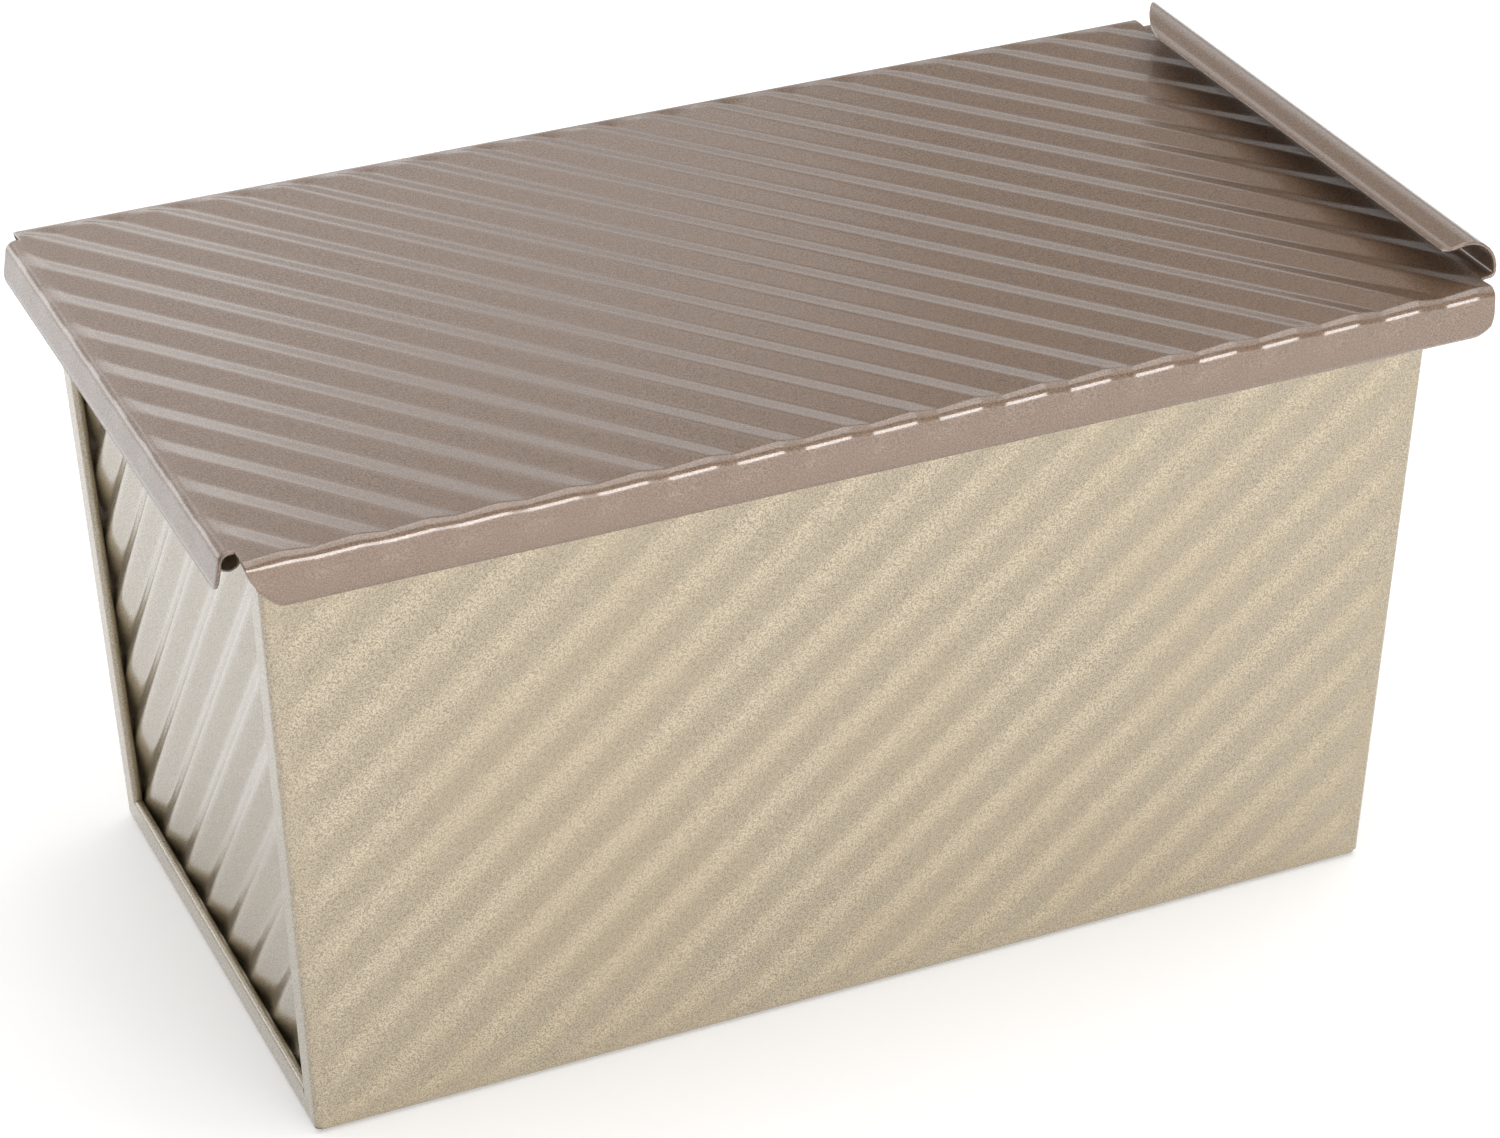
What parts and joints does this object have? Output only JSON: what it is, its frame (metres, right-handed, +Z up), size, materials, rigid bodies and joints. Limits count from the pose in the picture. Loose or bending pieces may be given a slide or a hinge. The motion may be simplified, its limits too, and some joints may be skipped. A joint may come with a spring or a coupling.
{
  "type": "pullman loaf pan",
  "caption": "Lidded bread pan of diagonally corrugated coated steel, with folded end seams, rolled rims and a slide-on lid with a curled handle.",
  "frame": {"origin": "centre of the base, on the surface that the pan stands on", "axes": "+X along the pan towards the lid's handle, +Z up, +Y across the pan"},
  "size_m": [0.2265, 0.1292, 0.1244],
  "materials": {
    "gold_coating": "satin metallic non-stick coating, pale gold",
    "lid_coating": "satin metallic non-stick coating, rose brown"
  },
  "bodies": {
    "pan": {"body_wrap": "gold_coating", "left_end_panel": "gold_coating", "right_end_panel": "gold_coating"},
    "cover": {"lid": "lid_coating"}
  },
  "joints": [
    {"name": "lid_slide", "type": "slide", "parent": "pan", "child": "cover", "axis": [-1, 0, 0], "range_m": [0, 0.225]}
  ]
}
